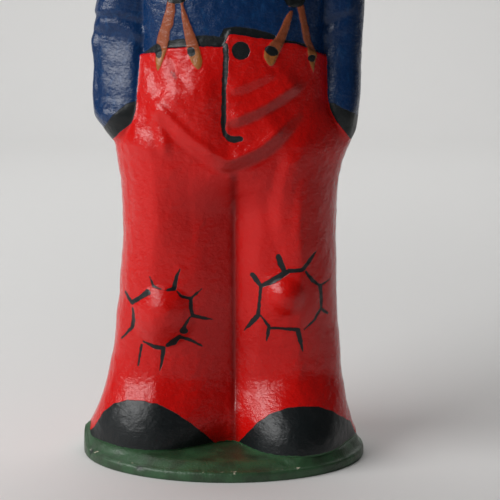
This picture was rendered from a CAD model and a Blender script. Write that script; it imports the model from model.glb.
"""Looks of the painted papier-mache figure. Lengths are in millimetres until a mesh is made."""

import math

import bpy
import numpy as np
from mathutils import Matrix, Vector


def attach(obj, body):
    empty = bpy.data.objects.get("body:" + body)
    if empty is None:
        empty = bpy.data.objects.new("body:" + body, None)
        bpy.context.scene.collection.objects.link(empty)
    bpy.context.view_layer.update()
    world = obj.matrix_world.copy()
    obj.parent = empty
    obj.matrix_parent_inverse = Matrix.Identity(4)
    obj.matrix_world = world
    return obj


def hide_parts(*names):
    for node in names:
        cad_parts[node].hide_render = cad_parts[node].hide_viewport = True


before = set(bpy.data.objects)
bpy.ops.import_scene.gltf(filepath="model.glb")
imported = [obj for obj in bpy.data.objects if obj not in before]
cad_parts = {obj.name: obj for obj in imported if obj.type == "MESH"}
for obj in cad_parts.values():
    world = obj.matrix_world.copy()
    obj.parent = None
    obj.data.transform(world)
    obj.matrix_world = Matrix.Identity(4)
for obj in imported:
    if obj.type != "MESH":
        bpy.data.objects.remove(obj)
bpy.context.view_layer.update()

MM = 0.001

# ---------- the figure's forms, as in the solids ----------
HEIGHT = 246
BASE_LENGTH = 97.9
BASE_DEPTH = 73.2
BASE_TURN = math.radians(-4)
RIM_HEIGHT = 3.4
GROUND = 5.7
FOOT = 6.0
AXIS_X = 4
AXIS_Y = 4
CROTCH = 100
WAIST = 140.5
# The trousers' top edge, at the front and at the back: x, then height.
WAIST_EDGE = (
    [-34, -24.8, -22, -17.5, -11.5, -7.2, 0.4, 1.4, 2.3, 3.2, 7.2, 11.8, 16.4, 20.7, 24.3, 27.6, 33.1, 38],
    [137, 138.2, 138.6, 140.1, 140.4, 140.8, 140.7, 142, 144, 144.7, 144.3, 143.4, 143, 141.9, 141.6,
     140.2, 138, 136.5],
)
WAIST_BACK_EDGE = ([-34, -20, 4, 28, 38], [137, 138.8, 139.5, 138.6, 136.5])
CLOTH = 1  # how far the trousers stand out over the shirt
HAIR = 1.2  # how far the hair stands out
NOSE = 211  # height of the nose's tip
SQUARENESS = 2.5  # 2 would make the level sections elliptic

# Height, then the reach to the left, right, front and back of the axis.
BODY = [
    (FOOT, 52.2, 42, 20, 27),
    (10, 50, 40, 21.5, 26.7),
    (14, 47.3, 39, 23, 26.3),
    (18, 45.5, 38.4, 23.6, 25.8),
    (22, 44.8, 38.1, 23.4, 25.3),
    (26, 44.4, 37.6, 22.7, 25),
    (30, 43.8, 37.1, 22.1, 24.7),
    (36, 42.4, 36.8, 22, 24.2),
    (42, 41.7, 36.2, 22.9, 23.8),
    (48, 41.2, 35.6, 24.2, 23.5),
    (56, 39.8, 35.4, 25.6, 23.7),
    (62, 39.4, 35.3, 26.2, 24),
    (78, 38.3, 34.9, 26.5, 25.5),
    (94, 38.7, 35.4, 27, 27.5),
    (101, 39.7, 36.8, 27.3, 28),
    (108.5, 40.4, 38.9, 27.6, 28),
    (114, 38.6, 38.3, 27.8, 27.7),
    (124, 33.8, 33.6, 27.8, 26.5),
    (WAIST, 33, 32.4, 27.6, 24.8),
    (158, 34, 33.6, 26.5, 25.5),
    (172, 34, 34, 24, 25),
    (182, 29.5, 29.5, 20, 22),
    (188, 22.5, 22.5, 16, 18),
    (192, 15, 15, 13, 14.5),
    (195, 10.5, 10.5, 10.5, 12.5),
]
COLLAR = [
    (187, 12, 12, 12, 13.5),
    (190, 13, 13, 13, 14.5),
    (195, 12.4, 12.4, 12, 14.2),
    (197, 10.6, 10.6, 10.2, 12.6),
]
NECK = [
    (190, 10, 10, 9, 12.5),
    (214, 9.5, 9.5, 8, 12.5),
]
# Height, middle (x, y), then the reach to the left, right, front and back of it.
LEFT_ARM = [
    (102, -29, 0, 3, 3, 5, 4),
    (108, -29.5, 0, 6.6, 6, 9.5, 8),
    (113, -30, 0, 10, 6.3, 12.5, 11),
    (118, -30, 0, 13.1, 6.5, 14.5, 13),
    (125, -30, 0, 13.8, 6.5, 14, 14),
    (135, -30, 0, 13.5, 6.5, 11.8, 14),
    (142, -29.8, 0.5, 14.1, 6.5, 10.6, 14.5),
    (149, -29.2, 1.5, 12.9, 6.6, 10.6, 15),
    (158, -28, 3, 12.6, 7, 13, 14),
    (172, -25, 5, 11.5, 8, 13, 12),
    (182, -21, 5, 9.5, 8, 10, 10),
    (187, -17.5, 5, 6, 5, 7, 7),
    (190, -15, 5, 1, 1, 1.5, 1.5),
]
RIGHT_ARM = [
    (102, 36, 0, 3, 3, 5, 4),
    (108, 37.5, 0, 6, 5.5, 9, 8),
    (113, 39.3, 0, 8, 5.7, 11, 11),
    (118, 39.8, 0, 8.4, 6.0, 12, 13),
    (125, 40, 0, 8.6, 6.5, 11.6, 14),
    (135, 40, 0.3, 8.6, 6.6, 10.6, 14),
    (146, 39.8, 1, 9, 7.3, 10.4, 15),
    (158, 38.5, 3, 9.5, 9.2, 13, 14),
    (172, 34, 5, 9, 10.4, 13, 12),
    (182, 29.5, 5, 8, 9.2, 10, 10),
    (187, 26, 5, 5, 6, 7, 7),
    (190, 23, 5, 1, 1, 1.5, 1.5),
]
# Middle, then half sizes.
LEFT_SHOE = ((-22.5, 0, 7), (21, 22.5, 21))
RIGHT_SHOE = ((24.2, -4, 6), (18.8, 25, 21))
SKULL = ((AXIS_X, 4.5, 224.5), (16.4, 19.4, HEIGHT - HAIR - 224.5))
JAW = ((AXIS_X, -1, 213.5), (13.4, 15, 15.5))
LEFT_EAR = ((AXIS_X - 16.8, 5.5, 217.5), (2.6, 3.8, 6))
RIGHT_EAR = ((AXIS_X + 16.8, 5.5, 217.5), (2.6, 3.8, 6))

# ---------- relief of the clothes ----------
# The crease between the legs: how wide and deep its gentle flanks and its steep core are.
CREASE_FLANK = {"left": 27, "right": 22, "depth": 7.4, "power": 1.1}
CREASE_CORE = {"left": 13, "right": 9, "depth": 2.6, "power": 1.35}
SEAT_CLEFT = {"width": 22, "depth": 5}
# Middle (x, z), radius and height.
KNEES = [(-19.8, 51.4, 11.2, 3.9), (22.2, 57.2, 11.8, 1.4), (21.2, 58.5, 6.6, 2.7)]
# Folds that hang in a curve: points (x, z), width and height. The cloth above the line stands out.
HUNG_FOLD = [
    (-24, 122.8), (-22.3, 121), (-18.4, 117.2), (-13.8, 112.6), (-9.4, 108.9), (-4.5, 105.3), (0.5, 102.4),
    (3.2, 102.4), (8.9, 104.6), (14.5, 107.4), (18, 110.5), (21.4, 113.7), (25.5, 118),
]
SWAGS = [
    (HUNG_FOLD, 4.2, 2.6),
    ([(1.5, 115.6), (6.7, 117), (10.8, 118.9), (15, 120.9), (19.3, 123.5), (23, 126), (27, 128.6)], 3.2, 1.6),
    ([(2.5, 126), (7, 127), (12, 129), (18, 132)], 3, 0.5),
]
PAINTED_SWAGS = SWAGS[:2]  # these also carry a band of worn paint
# The same at the back, under the seat and behind the knees.
BACK_SWAGS = [
    ([(-34, 106), (-24, 100.5), (-12, 98.5), (0, 102)], 3.4, 2.6),
    ([(8, 102), (20, 98.5), (31, 100.5), (40, 106)], 3.4, 2.6),
    ([(-36, 63), (-24, 57), (-13, 56), (-3, 60)], 3, 1.9),
    ([(-32, 50), (-20, 46), (-9, 48)], 3, 1.4),
    ([(11, 60), (22, 56.5), (33, 58), (41, 63)], 3, 1.9),
    ([(16, 48.5), (27, 46), (38, 51)], 3, 1.4),
]
# Cloth that fills out below the waist, left of the fly: height, then its reach in z and in x.
POUCH = {"height": 2.2, "top": 139, "full": 123, "bottom": 104, "left": -34, "fade": -6, "right": 4}
# Folds that stand out, or sink in where the height is below 0, on both sides of a line: points from above
# to below, reach to the left and right, height.
RIDGES = [
    ([(-23.2, 137.5), (-21.9, 131), (-18.9, 123.4), (-12.6, 116), (-3, 107.6)], 3.2, 3.4, -0.8),
    ([(-17.8, 139), (-14.4, 132.6), (-10.2, 126.2)], 2, 2.6, -0.8),
    ([(-23.6, 122), (-20.8, 116.6), (-18.9, 111), (-17.6, 104)], 2.8, 2.8, 1.4),
    ([(-25, 115), (-23.9, 108.3), (-22.6, 103), (-21.9, 97), (-21.5, 88), (-20.6, 78), (-19.8, 66)],
     9, 11, 1.7),
    ([(24, 116), (25, 110), (25.6, 105), (25.9, 97), (25.7, 87), (25.4, 79), (27, 70), (30.5, 58)],
     8, 10, 1.7),
    ([(24, 108), (22.6, 103), (20.8, 98), (19, 91), (18.6, 84), (18.6, 74)], 3.5, 4.5, 1.2),
]
# Folds across the sleeves at the elbows: points (x, z) and height.
SLEEVE_FOLDS = [
    ([(-45, 151), (-34, 150.4), (-29, 149.3), (-22, 146.8)], 1.7),
    ([(30, 146.6), (37, 149.6), (44, 152)], 1.0),
]
# The flat on the left forearm.
FOREARM_FLAT = {"x": -37.5, "width": 6, "depth": 2.6, "from": 121, "to": 147}
FLAP_EDGE = 1.6  # the flap laps over the other side from here
FLAP_FADE = 14  # and has sunk back into the cloth here
FLAP_BOTTOM = 110.5
FLAP_THICKNESS = 0.5


def smoothstep(value, low, high):
    t = np.clip((value - low) / (high - low), 0, 1)
    return t * t * (3 - 2 * t)


def bell(distance, width):
    return np.exp(-((distance / width) ** 2))


def dome(distance, radius):
    return np.clip(1 - (distance / radius) ** 2, 0, None) ** 1.2


def roof(beside, left, right):
    """A fold with flat sides and a slightly rounded ridge."""
    reach = np.where(beside < 0, left, right)
    return np.clip(1 - np.hypot(beside, 0.8) / reach, 0, None)


def step_up(beside, width):
    """Cloth that steps up across a line and sinks back behind it."""
    return np.clip(beside / width + 0.5, 0, 1) * np.exp(-np.clip(beside - width / 2, 0, None) / 7)


def blend(a, b, k):
    """The distances from two forms as the distance from both, joined with a fillet of size k."""
    near = np.clip(k - np.abs(a - b), 0, None) / k
    return np.minimum(a, b) - near * near * k / 4


def curve_at(rows, z):
    """Values at the heights z of a smooth curve through rows, which never overshoots a row."""
    rows = np.array(rows, float)
    at = rows[:, 0]
    steps = np.diff(rows, axis=0) / np.diff(at)[:, None]
    before, after = steps[:-1], steps[1:]
    slope = np.zeros_like(rows)
    same = before * after > 0
    slope[1:-1][same] = 2 * before[same] * after[same] / (before[same] + after[same])
    z = np.clip(z, at[0], at[-1])
    i = np.clip(np.searchsorted(at, z, side="right") - 1, 0, len(at) - 2)
    span = at[i + 1] - at[i]
    t = (z - at[i]) / span
    ease = t * t * (3 - 2 * t)
    leave = t * (1 - t) ** 2 * span
    arrive = t * t * (t - 1) * span
    change = rows[i + 1] - rows[i]
    return (rows[i] + change * ease[:, None] + slope[i] * leave[:, None] + slope[i + 1] * arrive[:, None]).T


def beside_path(x, z, path):
    """How far points lie above a path that runs from left to right, and how far along it, from 0 to 1."""
    above = np.full(x.shape, np.inf)
    share = np.zeros(x.shape)
    for i, ((ax, az), (bx, bz)) in enumerate(zip(path, path[1:])):
        dx, dz = bx - ax, bz - az
        t = np.clip(((x - ax) * dx + (z - az) * dz) / (dx * dx + dz * dz), 0, 1)
        side = np.where(dx * (z - az) - dz * (x - ax) < 0, -1, 1)
        distance = side * np.hypot(x - ax - t * dx, z - az - t * dz)
        nearer = np.abs(distance) < np.abs(above)
        above = np.where(nearer, distance, above)
        share = np.where(nearer, (i + t) / (len(path) - 1), share)
    return above, share


class Forms:
    """The lofted forms, worked out once for a list of heights."""

    def __init__(self, z):
        self.z = z
        self.sections = {}
        for name, rows in (("body", BODY), ("collar", COLLAR), ("neck", NECK)):
            _, *reach = curve_at(rows, z)
            self.keep(name, rows, (AXIS_X, AXIS_Y, *reach))
        for name, rows in (("left arm", LEFT_ARM), ("right arm", RIGHT_ARM)):
            _, *section = curve_at(rows, z)
            self.keep(name, rows, section)

    def keep(self, name, rows, section):
        present = (self.z >= rows[0][0]) & (self.z <= rows[-1][0])
        self.sections[name] = (present, *section)

    def take(self, chosen):
        """The same forms at some of the heights."""
        part = object.__new__(Forms)
        part.z = self.z[chosen]
        part.sections = {
            name: tuple(v[chosen] if isinstance(v, np.ndarray) else v for v in section)
            for name, section in self.sections.items()
        }
        return part

    def distance(self, name, x, y):
        present, middle_x, middle_y, left, right, front, back = self.sections[name]
        dx, dy = x - middle_x, y - middle_y
        wide = np.abs(dx) / np.where(dx < 0, left, right)
        deep = np.abs(dy) / np.where(dy < 0, front, back)
        norm = (wide**SQUARENESS + deep**SQUARENESS) ** (1 / SQUARENESS)
        return np.where(present, np.hypot(dx, dy) * (1 - 1 / np.maximum(norm, 1e-6)), 1e3)


def ellipsoid_distance(form, x, y, z):
    (mx, my, mz), (hx, hy, hz) = form
    dx, dy, dz = x - mx, y - my, z - mz
    norm = np.sqrt((dx / hx) ** 2 + (dy / hy) ** 2 + (dz / hz) ** 2)
    return np.sqrt(dx * dx + dy * dy + dz * dz) * (1 - 1 / np.maximum(norm, 1e-6))


def waist_height(x, y):
    return np.where(y < AXIS_Y, np.interp(x, *WAIST_EDGE), np.interp(x, *WAIST_BACK_EDGE))


def crease_relief(x, z):
    away = np.abs(x - AXIS_X)
    depth = 0
    for part in (CREASE_FLANK, CREASE_CORE):
        width = np.where(x < AXIS_X, part["left"], part["right"])
        depth = depth + part["depth"] * np.clip(1 - away / width, 0, None) ** part["power"]
    hem = 1 - 0.35 * smoothstep(26 - z, 0, 18)
    return -depth * hem * smoothstep(CROTCH + 2 - z, 0, 17)


def pouch_relief(x, z):
    across = smoothstep(x, POUCH["left"], POUCH["left"] + 6)
    across = across * smoothstep(POUCH["right"] - x, 0, POUCH["right"] - POUCH["fade"])
    filling = np.interp(z, [POUCH["bottom"], POUCH["full"], POUCH["full"] + 3, POUCH["top"]], [0, 1, 1, 0])
    return POUCH["height"] * across * filling


def flap_relief(x, z):
    across = smoothstep(x, FLAP_EDGE - 0.5, FLAP_EDGE + 0.5) * smoothstep(FLAP_FADE - x, 0, 12)
    below_top = smoothstep(np.interp(x, *WAIST_EDGE) + 2 - z, 0, 1)
    return FLAP_THICKNESS * across * smoothstep(z, FLAP_BOTTOM, FLAP_BOTTOM + 2) * below_top


def trouser_relief(x, z):
    relief = crease_relief(x, z) + pouch_relief(x, z) + flap_relief(x, z)
    for knee_x, knee_z, radius, height in KNEES:
        relief = relief + height * dome(np.hypot(x - knee_x, z - knee_z), radius)
    for path, width, height in SWAGS:
        above, share = beside_path(x, z, path)
        ends = smoothstep(share, 0, 0.15) * smoothstep(1 - share, 0, 0.15)
        rise = step_up(above, width)
        edges = 0.2 * bell(above - width / 2, 0.9) - 0.3 * bell(above + width / 2, 0.8)
        relief = relief + ends * (height * rise + edges)
    for path, left, right, height in RIDGES:
        beside, share = beside_path(x, z, path)
        ends = smoothstep(share, 0, 0.2) * smoothstep(1 - share, 0, 0.25)
        relief = relief + height * ends * roof(beside, left, right)
    return relief


def sleeve_relief(x, z):
    low, high = FOREARM_FLAT["from"], FOREARM_FLAT["to"]
    upright = smoothstep(z, low - 3, low + 3) * smoothstep(high + 3 - z, 0, 6)
    across = bell(x - FOREARM_FLAT["x"], FOREARM_FLAT["width"]) * smoothstep(x, -44.5, -41)
    relief = -FOREARM_FLAT["depth"] * across * upright
    for path, height in SLEEVE_FOLDS:
        above, _ = beside_path(x, z, path)
        upper = smoothstep(above, -0.9, 1.4) * np.exp(-np.clip(above, 0, None) / 8)
        side = x * np.sign(path[0][0])
        share = smoothstep(side, 20, 26) * smoothstep(46 - side, 0, 6)
        relief = relief + height * share * (upper + 0.6 * bell(above + 3.6, 2.2))
    return relief


def seat_relief(x, z):
    across = np.clip(1 - np.abs(x - AXIS_X) / SEAT_CLEFT["width"], 0, None) ** 1.4
    relief = -SEAT_CLEFT["depth"] * across * smoothstep(CROTCH + 6 - z, 0, 14) * smoothstep(z, FOOT, 40)
    for path, width, height in BACK_SWAGS:
        above, share = beside_path(x, z, path)
        ends = smoothstep(share, 0, 0.25) * smoothstep(1 - share, 0, 0.25)
        relief = relief + height * ends * step_up(above, width)
    return relief


def face_relief(x, z):
    side = np.abs(x - AXIS_X)
    up = z - NOSE
    nose = 4.4 * bell(side, 2.7) * smoothstep(up, -1.4, 1.6) * smoothstep(14 - up, 0, 12)
    brow = 0.9 * bell(up - 12.6, 2.2) * bell(side - 6.5, 5.5)
    socket = -1.7 * bell(up - 8.4, 3) * bell(side - 7, 3.8)
    eye = 1.1 * dome(np.hypot(side - 7, (up - 8.2) * 1.3), 3.4)
    cheek = 1 * dome(np.hypot(side - 8.6, up - 0.5), 6.5)
    lips = 1 * dome(side, 6.6) * (bell(up + 3.8, 1.2) + bell(up + 6.2, 1.3))
    chin = 1.2 * dome(np.hypot(side, up + 10), 5.5)
    return nose + brow + socket + eye + cheek + lips + chin


def hairline_height(y):
    return 233 - 0.95 * (y + 14)


def hair_relief(y, z):
    return HAIR * smoothstep(z - hairline_height(y), -1, 1) * smoothstep(z, 203, 206)


def clothes_distance(forms, x, y):
    z = forms.z
    clothes = forms.distance("body", x, y)
    clothes -= np.where(y < AXIS_Y, trouser_relief(x, z), seat_relief(x, z))
    clothes += CLOTH * smoothstep(z - waist_height(x, y), -0.5, 0.5)
    clothes = blend(clothes, ellipsoid_distance(LEFT_SHOE, x, y, z), 8)
    return blend(clothes, ellipsoid_distance(RIGHT_SHOE, x, y, z), 8)


def arm_distance(forms, arm, x, y):
    return forms.distance(arm, x, y) - np.where(y < AXIS_Y, sleeve_relief(x, forms.z), 0)


def head_distance(forms, x, y):
    z = forms.z
    head = blend(ellipsoid_distance(SKULL, x, y, z), ellipsoid_distance(JAW, x, y, z), 5)
    head -= hair_relief(y, z)
    head -= np.where(y < AXIS_Y, face_relief(x, z) * smoothstep(AXIS_Y - y, 0, 12), 0)
    for ear in (LEFT_EAR, RIGHT_EAR):
        head = blend(head, ellipsoid_distance(ear, x, y, z), 1)
    return head


def figure_distance(forms, x, y):
    clothes = clothes_distance(forms, x, y)
    for arm in ("left arm", "right arm"):
        clothes = blend(clothes, arm_distance(forms, arm, x, y), 1)
    clothes = blend(clothes, forms.distance("collar", x, y), 0.6)
    head = blend(head_distance(forms, x, y), forms.distance("neck", x, y), 2)
    return blend(clothes, head, 0.6)


# ---------- the skin, found along level lines of sight ----------
def sight_point(turn, z, reach):
    spread = 18 * smoothstep(196 - z, 0, 20)
    return AXIS_X + (spread + reach) * np.cos(turn), AXIS_Y + reach * np.sin(turn)


def skin(turn, z):
    """The outermost points of the figure in the directions turn at the heights z."""
    forms = Forms(z)
    reach = np.full(z.shape, 62.0)
    searching = np.arange(len(z))
    while len(searching):
        part = forms.take(searching)
        distance = figure_distance(part, *sight_point(turn[searching], part.z, reach[searching]))
        outside = (distance > 0) & (reach[searching] > 1)
        searching = searching[outside]
        reach[searching] -= np.maximum(1, 0.4 * distance[outside])
    step = 8
    while step > 0.001:
        step /= 2
        inside = figure_distance(forms, *sight_point(turn, z, reach + step)) < 0
        reach += np.where(inside, step, 0)
    x, y = sight_point(turn, z, reach)
    return np.stack([x, y, z], axis=1)


def waves(points, wavelengths, count, seed):
    """Smooth random unevenness, about 1 high, made of plane waves."""
    rng = np.random.default_rng(seed)
    total = np.zeros(len(points))
    for _ in range(count):
        direction = rng.normal(size=3)
        direction /= np.linalg.norm(direction)
        k = 2 * math.pi / rng.uniform(*wavelengths)
        total += np.cos(points @ direction * k + rng.uniform(0, 2 * math.pi))
    return total / math.sqrt(count / 2)


# ---------- where the paint goes: distance into each colour, above 0 inside it ----------
# Black edge of the pockets, from its lower line to its upper one: x, then height.
LEFT_POCKET = ([-44, -36.4, -33, -29.9, -27.2, -25.8, -25.3], [105, 109.8, 113, 115.4, 117.4, 119.9, 122.5])
LEFT_CUFF = ([-44, -38.7, -36.3, -33.4, -31.1, -28.7, -25.5], [109, 114.7, 117.6, 120.1, 122.1, 122.7, 123.3])
RIGHT_POCKET = ([32.4, 32.9, 35.5, 38.8, 43.4, 48], [123, 121.5, 119, 115, 109.2, 104])
RIGHT_CUFF = ([32.4, 37.1, 39.7, 43.9, 48], [122.7, 122, 120.4, 118.6, 116])
BACK_CUFF = (109, 113)  # the same edge at the back, which is level
# The trousers' hem over each shoe: x, then height.
LEFT_HEM = (
    [-47.5, -45.2, -43.9, -41.1, -37.2, -32.5, -27.2, -21.9, -16, -10.9, -6.6, -2.6, -1.5],
    [7, 9.5, 11.4, 16.1, 19.9, 21.9, 22.4, 21.7, 18.9, 15.2, 11.2, 6.2, 4],
)
RIGHT_HEM = (
    [4.3, 5.2, 8.8, 11.8, 16.1, 22, 27.1, 32.3, 36.8, 41.3, 44.9, 46.2],
    [4.5, 6.3, 11.8, 15.6, 19, 21.2, 21.5, 20.8, 18.7, 14.9, 10.9, 8],
)
# Black band over the trousers' top edge: x, then its upper edge.
BAND_TOP = (
    [-26, -24.8, -23.1, -21.3, -16.8, -12.2, -7.9, -4.9, -0.2, 0.9, 4.6, 8.9, 14.4, 17.7, 21, 26.7, 30.7, 33],
    [138, 138.7, 140.1, 141.4, 142.5, 143.2, 144.2, 144.3, 143.9, 146.4, 147.1, 146.7, 145.4, 144.2,
     142.8, 141.6, 139.6, 138],
)
# Brush strokes: points (x, z, width) one after the other.
FLY = [
    (1.5, 141, 1.8), (1.7, 136.7, 1.8), (1.25, 131, 1.9), (1, 128, 1.4), (0.95, 123, 1.4), (0.8, 117.5, 1.8),
    (0.7, 114.6, 1.2), (1.3, 112.9, 1.5), (2.8, 111.5, 2), (4.5, 111.2, 2.3), (6.2, 111.4, 1.9),
]
LEFT_STITCHES = [
    [(-32.8, 58, 0.9), (-30.6, 54.9, 1.3), (-26.4, 58.4, 1.4), (-24.8, 59.6, 2)],
    [(-23.9, 64.8, 0.5), (-22.8, 61.8, 1), (-19.6, 60.8, 0.4), (-18.6, 60.7, 0.3)],
    [(-18.1, 60.7, 0.7), (-15.9, 61.2, 1.4), (-15.2, 64.8, 1.4), (-13.7, 68, 0.3)],
    [(-14.9, 60.3, 0.6), (-13.4, 58.5, 1), (-10.5, 57.6, 1.1), (-6.8, 60.9, 0.4)],
    [(-10.5, 57.5, 1.2), (-10.5, 54.7, 1.3), (-9.8, 51.8, 1.3), (-6.6, 50.7, 1.2), (-3.4, 49.9, 0.5)],
    [(-10.7, 51.4, 0.6), (-12.6, 48.3, 1.2), (-12.8, 46.9, 3)],
    [(-18.4, 41.3, 1.4), (-16.4, 42.5, 2.6), (-14.4, 44.5, 1.4), (-10.7, 42.9, 1.1), (-6.8, 40.5, 0.5)],
    [(-26.7, 42, 0.7), (-23.2, 40.6, 1.6), (-19.9, 40.1, 1.6), (-20.2, 36.2, 1.3), (-21.1, 32.3, 0.3)],
    [(-27.3, 40.8, 0.8), (-28, 36.7, 0.9), (-28.6, 33.4, 0.5)],
    [(-30.2, 53.1, 0.8), (-29.9, 49.5, 1.3), (-30.7, 46.4, 1.2), (-34.6, 41.6, 0.4)],
]
RIGHT_STITCHES = [
    [(10.3, 65.3, 1.9), (11.6, 63.7, 1.9), (13, 61.9, 1.2), (17.1, 64, 2), (20.8, 66.4, 1.9),
     (22.4, 67.3, 1.4)],
    [(18.8, 72, 1.8), (19.6, 69.4, 2.2), (21, 66.8, 1.4)],
    [(22.4, 67.2, 1.4), (26.8, 67.6, 1.4), (29.2, 70.5, 1.5), (31.6, 73.5, 0.3)],
    [(27.9, 66.7, 0.9), (30.1, 63.7, 1.2), (32.8, 61.3, 0.9), (36.3, 62.7, 0.3)],
    [(32.9, 61.2, 1.4), (33.3, 57, 1.1), (33.2, 53.3, 0.9), (35.6, 51.1, 0.9)],
    [(33.2, 53.4, 0.9), (30.6, 49.4, 1), (27.7, 46.7, 0.5)],
    [(16.1, 47.3, 0.9), (20.4, 47.3, 1), (25.4, 46.8, 1.6), (26.3, 43, 1.6), (27.2, 39, 0.5)],
    [(12.8, 51.8, 0.5), (15.7, 47.9, 1.3), (15.4, 45, 1.3), (14.9, 42.4, 0.3)],
    [(13, 61.8, 1.2), (12.4, 56, 1), (12.1, 51.7, 1.4), (10.5, 49.6, 1.8), (7.4, 45.5, 0.4)],
]
# Leather braces, seen from in front: rows of height, left edge and right edge.
FRONT_BRACES = [
    [(132.9, -20.7, -20.4), (133.8, -21, -19.7), (136.3, -21.3, -18.7), (139.9, -21.2, -17.4),
     (143.1, -20.8, -16.7), (145.7, -19.9, -16.5), (147.3, -19.3, -15.4), (149.9, -18.5, -15),
     (151.9, -17.8, -14.6), (155.6, -17, -14.8)],
    [(133.6, -7.5, -7), (134.6, -8.6, -6.2), (136.1, -9.6, -5.9), (139.3, -10.8, -6.6), (141.9, -11.2, -7.2),
     (146, -11.9, -8.9), (149.9, -12.5, -10.5), (153.5, -12.7, -11.9), (155.6, -12.9, -12.1)],
    [(134.6, 15.6, 16.4), (135.3, 14.9, 17.1), (137.4, 13.7, 18.1), (139.4, 13.8, 19), (141.9, 15.7, 20.3),
     (143.5, 17.4, 20.9), (146.4, 19, 21.9), (149.9, 20.5, 22.7), (152, 22, 23.1)],
    [(132.3, 29.7, 29.9), (135.9, 28.4, 30.5), (137.8, 28.1, 31.1), (140.2, 27.7, 30.1), (142.8, 26.5, 29),
     (146.3, 25.9, 28.3), (149.5, 25.2, 27.4), (155.6, 23.9, 26.1)],
    [(154.4, -16.5, -11.8), (172, -17, -12.2), (186, -15.4, -10.6), (200, -14.4, -9.6)],
    [(153.3, 21.6, 26.2), (172, 20.6, 25.4), (186, 18.6, 23.4), (200, 17.6, 22.4)],
]
# The same at the back, where they cross.
BACK_BRACES = [
    [(132.4, 19.6, 19.9), (133.8, 18.4, 21), (136, 17.4, 21.2), (140, 15, 19.4), (163, 1.6, 6.4),
     (184, -11.4, -6.6), (200, -14.4, -9.6)],
    [(132.4, -11.9, -11.6), (133.8, -13, -10.4), (136, -13.2, -9.4), (140, -11.4, -7), (163, 1.6, 6.4),
     (184, 14.6, 19.4), (200, 17.6, 22.4)],
]
BACK_SEAM = [(4, 141, 1.5), (4.2, 132, 1.7), (3.9, 121, 1.5), (4, 112, 1.6), (4, 106, 0.8)]
BACK_BUTTONS = [(18.9, 137, 1.7, 1.7, 0), (-11, 137, 1.7, 1.7, 0)]
BACK_BAND = 2.2  # height of the black band over the trousers' top edge at the back
BRACES_TOP = 190.5
# Middle (x, z), half width, half height and tilt in degrees.
BUTTONS = [
    (6.4, 139.5, 2.9, 2.9, 0),
    (-20.3, 139.2, 1.4, 2.3, 12),
    (-9.4, 139.1, 1.4, 1.5, 0),
    (16.1, 139.4, 2.3, 1.5, -26),
    (29.1, 136.8, 1.1, 1.2, 0),
]
DAB = (-15.2, 131.7, 0.7, 1.7, 28)
CLIPS = [(-14.2, 156.6, 3.6, 2.4, 0), (23.7, 156, 3.4, 3, 0)]
SKIN_FROM = 196.6  # bare skin starts here, above the collar
HAIR_FROM = 204
# The face, measured sideways from the middle and upwards from the nose's tip.
EYE_SIDE, EYE_UP = 7, 8.3
BROW_UP, BROW_SPAN = 12.9, 3.9
LIPS_UP = -5
NOWHERE = -1e3  # distance into a colour that isn't on this side


def stroke(x, z, points):
    """Distance into a brush stroke whose width changes from point to point."""
    inside = np.full(x.shape, NOWHERE)
    for (ax, az, aw), (bx, bz, bw) in zip(points, points[1:]):
        dx, dz = bx - ax, bz - az
        t = np.clip(((x - ax) * dx + (z - az) * dz) / (dx * dx + dz * dz), 0, 1)
        width = aw + (bw - aw) * t
        inside = np.maximum(inside, width / 2 - np.hypot(x - ax - t * dx, z - az - t * dz))
    return inside


def spot(x, z, middle_x, middle_z, half_width, half_height, tilt=0):
    """Distance into an oval spot of paint."""
    c, s = math.cos(math.radians(tilt)), math.sin(math.radians(tilt))
    dx, dz = x - middle_x, z - middle_z
    along, across = dx * c + dz * s, dz * c - dx * s
    return (1 - np.hypot(along / half_width, across / half_height)) * min(half_width, half_height)


def strip(x, z, rows):
    """Distance into a strip between a left and a right edge."""
    at, left, right = np.array(rows).T
    inside = np.minimum(x - np.interp(z, at, left), np.interp(z, at, right) - x)
    return np.min([inside, z - at[0], at[-1] - z], axis=0)


def strokes(x, z, many):
    return np.max([stroke(x, z, points) for points in many], axis=0)


def between(x, z, low, high):
    return np.minimum(z - np.interp(x, *low), np.interp(x, *high) - z)


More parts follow.
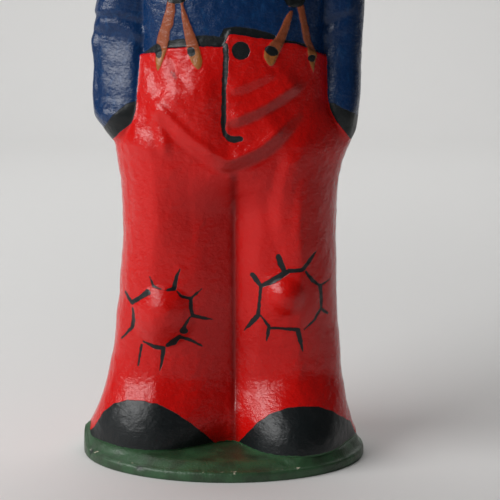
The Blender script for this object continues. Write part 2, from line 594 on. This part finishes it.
def paint_masks(points):
    x, y, z = points.T
    front = y < AXIS_Y
    forms = Forms(z)
    clothes = clothes_distance(forms, x, y)
    left_arm = clothes - arm_distance(forms, "left arm", x, y)
    right_arm = clothes - arm_distance(forms, "right arm", x, y)
    left_sleeve = np.minimum(left_arm, z - np.where(front, np.interp(x, *LEFT_POCKET), BACK_CUFF[0]))
    right_sleeve = np.minimum(right_arm, z - np.where(front, np.interp(x, *RIGHT_POCKET), BACK_CUFF[0]))
    above_waist = z - waist_height(x, y)
    shirt = np.max([left_sleeve, right_sleeve, above_waist], axis=0)

    braces = np.where(
        front,
        np.max([strip(x, z, rows) for rows in FRONT_BRACES], axis=0),
        np.max([strip(x, z, rows) for rows in BACK_BRACES], axis=0),
    )
    braces = np.minimum(braces, BRACES_TOP - z)

    back_band = np.minimum(above_waist, BACK_BAND - above_waist)
    waist_line = np.where(front, between(x, z, WAIST_EDGE, BAND_TOP), back_band)
    waist_line = np.minimum(waist_line, -np.maximum(left_arm, right_arm))
    left_cuff = np.minimum(between(x, z, LEFT_POCKET, LEFT_CUFF), left_arm)
    right_cuff = np.minimum(between(x, z, RIGHT_POCKET, RIGHT_CUFF), right_arm)
    cuffs = np.where(front, np.maximum(left_cuff, right_cuff), np.minimum(shirt, BACK_CUFF[1] - z))
    hems = np.maximum(np.interp(x, *LEFT_HEM, left=-9), np.interp(x, *RIGHT_HEM, right=9))
    shoes = np.where(front, hems - 1.3 * np.clip(y + 4, 0, None) - z, NOWHERE)
    stitches = np.where(front, strokes(x, z, [*LEFT_STITCHES, *RIGHT_STITCHES, FLY]), stroke(x, z, BACK_SEAM))
    lines = np.max([waist_line, cuffs, shoes, stitches], axis=0)
    front_dots = np.max([spot(x, z, *oval) for oval in BUTTONS + CLIPS], axis=0)
    dots = np.where(front, front_dots, np.max([spot(x, z, *oval) for oval in BACK_BUTTONS], axis=0))
    black = np.maximum(np.minimum(lines, -braces), dots)
    bands = NOWHERE
    for path, width, _ in PAINTED_SWAGS:
        beside, share = beside_path(x, z, path)
        narrowing = 6 * np.clip(0.12 - np.minimum(share, 1 - share), 0, None)
        bands = np.maximum(bands, width / 2 - np.abs(beside) - narrowing)
    bands = np.where(front, np.minimum(bands, (x + 2) / 3), NOWHERE)

    crease = np.where(front, np.minimum(1.2 - np.abs(x - AXIS_X), CROTCH - z), NOWHERE)

    side = np.abs(x - AXIS_X)
    up = z - NOSE
    hair = np.minimum(z - hairline_height(y), z - HAIR_FROM)
    ears = np.maximum(-ellipsoid_distance(LEFT_EAR, x, y, z), -ellipsoid_distance(RIGHT_EAR, x, y, z)) + 0.8
    hair = np.minimum(hair, -ears)
    brow_up = BROW_UP - 0.05 * (side - 6) ** 2
    brows = np.minimum(0.55 - np.abs(up - brow_up), BROW_SPAN - np.abs(side - EYE_SIDE))
    eye = spot(side, up, EYE_SIDE, EYE_UP, 2.9, 1.35)
    iris = np.minimum(spot(side, up, EYE_SIDE, EYE_UP, 1.3, 1.5), eye)
    lashes = np.minimum(0.3 - np.abs(eye), up - EYE_UP)
    hair = np.where(front, np.max([hair, brows, iris, lashes], axis=0), hair)
    lips = spot(side, up, 0, LIPS_UP, 5, 1.5)
    return {
        "shirt": shirt,
        "ground": FOOT + 0.7 - z,
        "braces": braces,
        "black": black,
        "skin": z - SKIN_FROM,
        "bands": bands,
        "crease": crease,
        "dab": np.where(front, spot(x, z, *DAB), NOWHERE),
        "eyes": np.where(front, eye, NOWHERE),
        "lips": np.where(front, lips, NOWHERE),
        "hair": hair,
    }


# ---------- meshes ----------
BASE_COLUMNS = 320
GROUND_RINGS = 70
# Share of the way out to the rim, and height.
RIM_PROFILE = [(0.995, 0), (1, 0.5), (1, 1.2), (1, 2.2), (0.997, 2.8), (0.99, 3.2), (0.978, 3.4)]
FILLET = 0.8  # how far the ground's paint climbs the feet
MOUND_X, MOUND_Y, MOUND_HEIGHT = -48, 0, 6  # a lump of the ground over the left shoe
NICKS = [(-27.6, -29.6, 3.2), (-45.6, -12, 3.2)]  # small breaks in the rim
NICK_REACH, NICK_DEPTH = 1.3, 0.7


def spaced(*stretches):
    """Numbers over stretches of (from, to, count), each without its last number."""
    return np.concatenate([np.linspace(low, high, count, endpoint=False) for low, high, count in stretches])


TURNS = spaced((math.pi, 2 * math.pi, 176), (2 * math.pi, 3 * math.pi, 60))
CROWN = SKULL[0][2] + (HEIGHT - SKULL[0][2]) * np.sin(np.radians(np.linspace(42, 88, 14)))
LEVELS = np.concatenate([
    spaced((FOOT, 30, 30), (30, 72, 50), (72, 95, 22), (95, 157, 78), (157, 200, 34), (200, CROWN[0], 38)),
    CROWN,
])
FINE_NEAR = 0.8  # the grid is twice as fine this near to an edge of the paint


def figure_mesh():
    rings, columns = len(LEVELS), len(TURNS)
    turn, z = np.meshgrid(TURNS, LEVELS)
    points = skin(turn.ravel(), z.ravel())
    masks = paint_masks(points)
    sharp = ("shirt", "braces", "black", "eyes", "lips", "hair")
    edge = np.min([np.abs(masks[name]) for name in sharp], axis=0).reshape(rings, columns)
    near = edge < FINE_NEAR
    across = np.roll(near, -1, axis=1)
    fine = (near | across)[:-1] | (near | across)[1:]

    # Points of the twice as fine grid: ids of corners first, then those that a fine patch needs.
    ids = np.full((2 * rings - 1, 2 * columns), -1)
    needed = np.zeros(ids.shape, bool)
    j, i = np.nonzero(fine)
    for dj, di in ((0, 1), (1, 0), (1, 1), (1, 2), (2, 1)):
        needed[2 * j + dj, (2 * i + di) % (2 * columns)] = True
    needed[::2, ::2] = False
    ids[::2, ::2] = np.arange(rings * columns).reshape(rings, columns)
    ids[needed] = rings * columns + np.arange(needed.sum())
    next_turn = np.append(TURNS[1:], 3 * math.pi)
    fine_turns = np.stack([TURNS, (TURNS + next_turn) / 2], axis=1).ravel()
    fine_levels = np.interp(np.arange(2 * rings - 1) / 2, np.arange(rings), LEVELS)
    row, column = np.nonzero(needed)
    points = np.concatenate([points, skin(fine_turns[column], fine_levels[row])])

    def at(row, column):
        return ids[row, column % (2 * columns)]

    faces = []
    for dj, di in ((0, 0), (0, 1), (1, 0), (1, 1)):
        a, b = 2 * j + dj, 2 * i + di
        faces += np.stack([at(a, b), at(a, b + 1), at(a + 1, b + 1), at(a + 1, b)], axis=1).tolist()
    round_patch = ((0, 0), (0, 1), (0, 2), (1, 2), (2, 2), (2, 1), (2, 0), (1, 0))
    j, i = np.nonzero(~fine)
    for corners in np.stack([at(2 * j + dj, 2 * i + di) for dj, di in round_patch], axis=1).tolist():
        faces.append([corner for corner in corners if corner >= 0])
    top = at(2 * rings - 2, np.arange(2 * columns))
    sole = at(0, np.arange(2 * columns))
    faces.append(top[top >= 0].tolist())
    faces.append(sole[sole >= 0][::-1].tolist())
    return points, faces


def base_mesh():
    """The oval plate: a flat underside, a rounded rim and ground that rises to the feet."""
    turns = np.linspace(0, 2 * math.pi, BASE_COLUMNS, endpoint=False)
    rim = np.stack([BASE_LENGTH / 2 * np.cos(turns), BASE_DEPTH / 2 * np.sin(turns)], axis=1)
    rings = list(RIM_PROFILE)
    inner = rings[-1][0]
    rings += [(share, None) for share in np.linspace(inner, 0.02, GROUND_RINGS)[1:]]
    c, s = math.cos(BASE_TURN), math.sin(BASE_TURN)
    points = []
    for share, z in rings:
        x, y = (rim * share).T
        x, y = x * c - y * s, x * s + y * c
        if z is None:
            gap = figure_distance(Forms(np.full(BASE_COLUMNS, FOOT + 0.2)), x, y)
            inset = np.array(1 - share)
            under = smoothstep(2.5 - gap, 0, 2) * smoothstep(inset, 0.02, 0.05)
            rise = np.maximum(smoothstep(inset, 0.02, 0.16), under)
            fillet = FILLET * np.exp(-np.clip(gap + 0.4, 0, None) / 1.1) * smoothstep(inset, 0.03, 0.06)
            z = RIM_HEIGHT + (GROUND - RIM_HEIGHT) * rise + fillet
        else:
            z = np.full(BASE_COLUMNS, z)
        lap = MOUND_HEIGHT * bell(x - MOUND_X, 2.4) * bell(y - MOUND_Y, 7) * smoothstep(z, 1.5, RIM_HEIGHT)
        points.append(np.stack([x, y, z + lap], axis=1))
    points = np.concatenate(points)
    for nick in NICKS:
        near = bell(np.linalg.norm(points - nick, axis=1), NICK_REACH)[:, None]
        points -= NICK_DEPTH * near * np.array([nick[0] / 60, nick[1] / 45, 0.6])
    ring = np.arange(BASE_COLUMNS)
    faces = [ring[::-1].tolist(), ((len(rings) - 1) * BASE_COLUMNS + ring).tolist()]
    for row in range(len(rings) - 1):
        a = row * BASE_COLUMNS + ring
        b = row * BASE_COLUMNS + (ring + 1) % BASE_COLUMNS
        faces += np.stack([a, b, b + BASE_COLUMNS, a + BASE_COLUMNS], axis=1).tolist()
    return points, faces


def new_object(name, points, faces, material):
    mesh = bpy.data.meshes.new(name)
    mesh.from_pydata((points * MM).tolist(), [], faces)
    mesh.polygons.foreach_set("use_smooth", [True] * len(mesh.polygons))
    mesh.materials.append(material)
    mesh.validate()
    obj = bpy.data.objects.new(name, mesh)
    bpy.context.scene.collection.objects.link(obj)
    return obj


def add_masks(obj, masks):
    for name, values in masks.items():
        attribute = obj.data.attributes.new(name, "FLOAT", "POINT")
        attribute.data.foreach_set("value", np.clip(values, -5, 5).astype(np.float32))


# ---------- materials ----------
class Nodes:
    """A short way to build one material's nodes."""

    def __init__(self, name):
        self.material = bpy.data.materials.new(name)
        self.material.use_nodes = True
        self.tree = self.material.node_tree
        self.shader = self.tree.nodes["Principled BSDF"]
        self.place = self.add("ShaderNodeTexCoord").outputs["Object"]

    def add(self, kind, **settings):
        node = self.tree.nodes.new(kind)
        for key, value in settings.items():
            setattr(node, key, value)
        return node

    def put(self, value, socket):
        if isinstance(value, bpy.types.NodeSocket):
            self.tree.links.new(value, socket)
        else:
            socket.default_value = value

    def math(self, operation, *values):
        node = self.add("ShaderNodeMath", operation=operation)
        for value, socket in zip(values, node.inputs):
            self.put(value, socket)
        return node.outputs[0]

    def mix(self, factor, a, b):
        node = self.add("ShaderNodeMix", data_type="RGBA")
        self.put(factor, node.inputs["Factor"])
        self.put(a, node.inputs[6])
        self.put(b, node.inputs[7])
        return node.outputs[2]

    def ramp(self, value, low, high):
        """0 at low and 1 at high, with a smooth change between them."""
        node = self.add("ShaderNodeMapRange", interpolation_type="SMOOTHSTEP")
        for v, socket in zip((value, low, high), node.inputs):
            self.put(v, socket)
        return node.outputs[0]

    def noise(self, size, detail=3.0, roughness=0.5, stretch=(1, 1, 1), distortion=0.0):
        """Noise whose blotches are about size millimetres across."""
        mapping = self.add("ShaderNodeMapping")
        self.put(self.place, mapping.inputs["Vector"])
        mapping.inputs["Scale"].default_value = stretch
        node = self.add("ShaderNodeTexNoise")
        self.put(mapping.outputs[0], node.inputs["Vector"])
        node.inputs["Scale"].default_value = 1 / (size * MM)
        node.inputs["Detail"].default_value = detail
        node.inputs["Roughness"].default_value = roughness
        node.inputs["Distortion"].default_value = distortion
        return node.outputs["Fac"]

    def mask(self, name, wobble, softness=0.12):
        """1 inside a colour's area, 0 outside, with an uneven brushed edge."""
        attribute = self.add("ShaderNodeAttribute", attribute_name=name).outputs["Fac"]
        return self.ramp(self.math("ADD", attribute, wobble), -softness, softness)

    def bump(self, height, distance, normal=None):
        node = self.add("ShaderNodeBump")
        self.put(height, node.inputs["Height"])
        node.inputs["Distance"].default_value = distance * MM
        if normal is not None:
            self.put(normal, node.inputs["Normal"])
        return node.outputs[0]


RED = (0.55, 0.003, 0.002, 1)
RED_THIN = (0.58, 0.007, 0.005, 1)
RED_DEEP = (0.13, 0.002, 0.002, 1)
DAB_GREY = (0.27, 0.10, 0.10, 1)
RED_WORN = (0.2, 0.018, 0.014, 1)
BLUE = (0.0015, 0.022, 0.085, 1)
BLUE_THIN = (0.005, 0.045, 0.14, 1)
BLACK = (0.006, 0.0085, 0.0095, 1)
LEATHER = (0.27, 0.066, 0.025, 1)
TONGUE = (0.32, 0.11, 0.025, 1)
SKIN = (0.62, 0.30, 0.19, 1)
LIP = (0.42, 0.12, 0.09, 1)
EYE_WHITE = (0.72, 0.68, 0.60, 1)
HAIR_BROWN = (0.045, 0.02, 0.01, 1)
HAIR_LIGHT = (0.11, 0.055, 0.026, 1)
GREEN = (0.034, 0.095, 0.040, 1)
GREEN_DARK = (0.024, 0.052, 0.024, 1)
CREAM = (0.55, 0.50, 0.38, 1)


def figure_material():
    n = Nodes("painted clothes")
    wobble = n.math("MULTIPLY", n.math("SUBTRACT", n.noise(1.5, 2), 0.5), 0.8)
    blotches = n.ramp(n.noise(10, 4), 0.35, 0.7)
    streaks = n.ramp(n.noise(1.6, 4, stretch=(1, 1, 0.4), distortion=0.8), 0.48, 0.75)

    red = n.mix(n.math("MULTIPLY", blotches, 0.6), RED, RED_THIN)
    red = n.mix(n.math("MULTIPLY", n.mask("bands", 0.0, 0.9), 0.38), red, RED_WORN)
    red = n.mix(n.math("MULTIPLY", n.mask("crease", 0.0, 1.2), 0.6), red, RED_DEEP)
    red = n.mix(n.math("MULTIPLY", n.mask("dab", wobble, 0.3), 0.7), red, DAB_GREY)
    blue = n.mix(n.math("MULTIPLY", streaks, 0.7), BLUE, BLUE_THIN)
    colour = n.mix(n.mask("shirt", wobble), red, blue)
    bare = n.mask("skin", 0.0)
    colour = n.mix(bare, colour, SKIN)
    colour = n.mix(n.mask("eyes", 0.0), colour, EYE_WHITE)
    colour = n.mix(n.mask("lips", 0.0, 0.3), colour, LIP)
    place = n.add("ShaderNodeSeparateXYZ")
    n.put(n.place, place.inputs[0])
    leather = n.mix(n.ramp(place.outputs[2], 138 * MM, 141 * MM), TONGUE, LEATHER)
    colour = n.mix(n.mask("braces", n.math("MULTIPLY", wobble, 0.4)), colour, leather)
    black = n.mask("black", n.math("MULTIPLY", wobble, 0.7))
    colour = n.mix(black, colour, BLACK)
    strands = n.ramp(n.noise(1.3, 3, stretch=(1, 1, 0.12), distortion=0.4), 0.4, 0.65)
    hair = n.mask("hair", n.math("MULTIPLY", wobble, bare))
    colour = n.mix(hair, colour, n.mix(strands, HAIR_BROWN, HAIR_LIGHT))
    colour = n.mix(n.mask("ground", wobble), colour, GREEN)
    n.put(colour, n.shader.inputs["Base Color"])

    rough = n.math("ADD", 0.16, n.math("MULTIPLY", n.noise(2.2, 3), 0.14))
    duller_shirt = n.math("MULTIPLY", n.mask("shirt", 0.0), 0.04)
    duller = n.math("MAXIMUM", n.math("MULTIPLY", black, 0.14), duller_shirt)
    rough = n.math("ADD", rough, duller)
    n.put(rough, n.shader.inputs["Roughness"])
    n.shader.inputs["Specular IOR Level"].default_value = 0.34

    smoother = n.math("SUBTRACT", 1.0, n.math("MULTIPLY", black, 0.3))
    normal = n.bump(n.math("MULTIPLY", n.noise(4.5, 3, 0.55), smoother), 0.36)
    brushed = n.noise(1.1, 4, 0.6, stretch=(0.8, 0.8, 1.2), distortion=0.3)
    normal = n.bump(n.math("MULTIPLY", brushed, smoother), 0.2, normal)
    n.put(normal, n.shader.inputs["Normal"])
    return n.material


def base_material():
    n = Nodes("painted ground")
    wear = n.ramp(n.noise(2.6, 5, 0.6), 0.62, 0.70)
    height = n.add("ShaderNodeSeparateXYZ")
    n.put(n.place, height.inputs[0])
    rim = n.ramp(height.outputs[2], 2.6 * MM, 3.4 * MM)
    on_rim = n.math("MULTIPLY", rim, n.ramp(height.outputs[2], 3.62 * MM, 3.5 * MM))
    colour = n.mix(n.ramp(n.noise(7, 4), 0.35, 0.65), GREEN, GREEN_DARK)
    colour = n.mix(n.math("MULTIPLY", on_rim, wear), colour, CREAM)
    nicked = 0.0
    for nick in NICKS:
        away = n.add("ShaderNodeVectorMath", operation="DISTANCE")
        n.put(n.place, away.inputs[0])
        away.inputs[1].default_value = [v * MM for v in nick]
        nicked = n.math("MAXIMUM", nicked, n.ramp(away.outputs["Value"], 1.7 * MM, 0.9 * MM))
    colour = n.mix(n.math("MULTIPLY", nicked, 0.85), colour, BLACK)
    n.put(colour, n.shader.inputs["Base Color"])
    n.put(n.math("ADD", 0.28, n.math("MULTIPLY", n.noise(2.5, 3), 0.25)), n.shader.inputs["Roughness"])
    normal = n.bump(n.noise(5, 3), 0.5)
    n.put(n.bump(n.noise(0.8, 4, 0.6), 0.14, normal), n.shader.inputs["Normal"])
    return n.material


# ---------- pieces ----------
UNEVENNESS = [(0.07, (8, 18), 1), (0.04, (2.5, 5), 2)]  # height, wavelengths and seed
WAVE_COUNT = 24
SKIN_INSET = 0.1  # the skin lies this far inside the solid before the unevenness
STRAP_THICKNESS = 0.45

points, faces = figure_mesh()
masks = paint_masks(points)
outward = points - np.array([AXIS_X, AXIS_Y, 0])
outward[:, 2] = 0
outward /= np.linalg.norm(outward, axis=1)[:, None]
unevenness = sum(height * waves(points, lengths, WAVE_COUNT, seed) for height, lengths, seed in UNEVENNESS)
strap_relief = STRAP_THICKNESS * smoothstep(masks["braces"], -0.3, 0.5)
settle = smoothstep(points[:, 2], FOOT, FOOT + 1.5) * smoothstep(HEIGHT - points[:, 2], 0, 8)
points += outward * ((unevenness - SKIN_INSET) * settle + strap_relief)[:, None]
figure = new_object("figure_skin", points, faces, figure_material())
add_masks(figure, masks)
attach(figure, "root")
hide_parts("figure")

points, faces = base_mesh()
base = new_object("base_plate", points, faces, base_material())
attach(base, "root")
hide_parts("base")


# ---------- floor, light and camera, in metres ----------
FLOOR_REACH = 5
SWEEP_START = 1.1
SWEEP_RADIUS = 0.3
WALL_TOP = 2
FILL_LIGHT = 0.06
CAMERA_PLACE = (0.0093, -0.49, 0.1554)
CAMERA_TILT = 9.782  # degrees downwards
SENSOR_WIDTH, FOCAL_LENGTH = 36, 104.4  # millimetres


def backdrop():
    """A pale floor that sweeps up into a wall, far enough behind the object for the views from behind."""
    turns = np.linspace(0, math.pi / 2, 17)[1:]
    sweep = [(-FLOOR_REACH, 0), (SWEEP_START, 0)]
    sweep += [(SWEEP_START + SWEEP_RADIUS * math.sin(a), SWEEP_RADIUS * (1 - math.cos(a))) for a in turns]
    sweep += [(SWEEP_START + SWEEP_RADIUS, WALL_TOP)]
    points = np.array([(x, y, z) for y, z in sweep for x in (-FLOOR_REACH, FLOOR_REACH)]) / MM
    faces = [(2 * i, 2 * i + 1, 2 * i + 3, 2 * i + 2) for i in range(len(sweep) - 1)]
    n = Nodes("pale floor")
    n.shader.inputs["Base Color"].default_value = (0.72, 0.715, 0.705, 1)
    n.shader.inputs["Roughness"].default_value = 0.9
    return new_object("floor", points, faces, n.material)


def area_light(name, place, aim, size, power):
    light = bpy.data.lights.new(name, "AREA")
    light.shape = "RECTANGLE"
    light.size, light.size_y = size
    light.energy = power
    obj = bpy.data.objects.new(name, light)
    obj.location = place
    direction = np.array(aim) - np.array(place)
    obj.rotation_euler = vector_to_euler(direction)
    obj.visible_camera = False
    bpy.context.scene.collection.objects.link(obj)


def vector_to_euler(direction):
    return Vector(direction).to_track_quat("-Z", "Y").to_euler()


backdrop()
# Place, aim, size and watts.
area_light("window", (-0.77, -0.409, 0.535), (0, 0, 0.11), (0.85, 0.36), 9.6)
area_light("wall light", (0, 0.6, 1.3), (0, 1.4, 0.15), (1.6, 0.4), 13)

world = bpy.data.worlds.new("studio")
world.use_nodes = True
world.node_tree.nodes["Background"].inputs["Color"].default_value = (1, 1, 1, 1)
world.node_tree.nodes["Background"].inputs["Strength"].default_value = FILL_LIGHT
bpy.context.scene.world = world

camera = bpy.data.objects.new("camera", bpy.data.cameras.new("camera"))
camera.location = CAMERA_PLACE
camera.rotation_euler = (math.radians(90 - CAMERA_TILT), 0, 0)
camera.data.sensor_width = SENSOR_WIDTH
camera.data.lens = FOCAL_LENGTH
bpy.context.scene.collection.objects.link(camera)
bpy.context.scene.camera = camera
bpy.context.scene.view_settings.view_transform = "Standard"
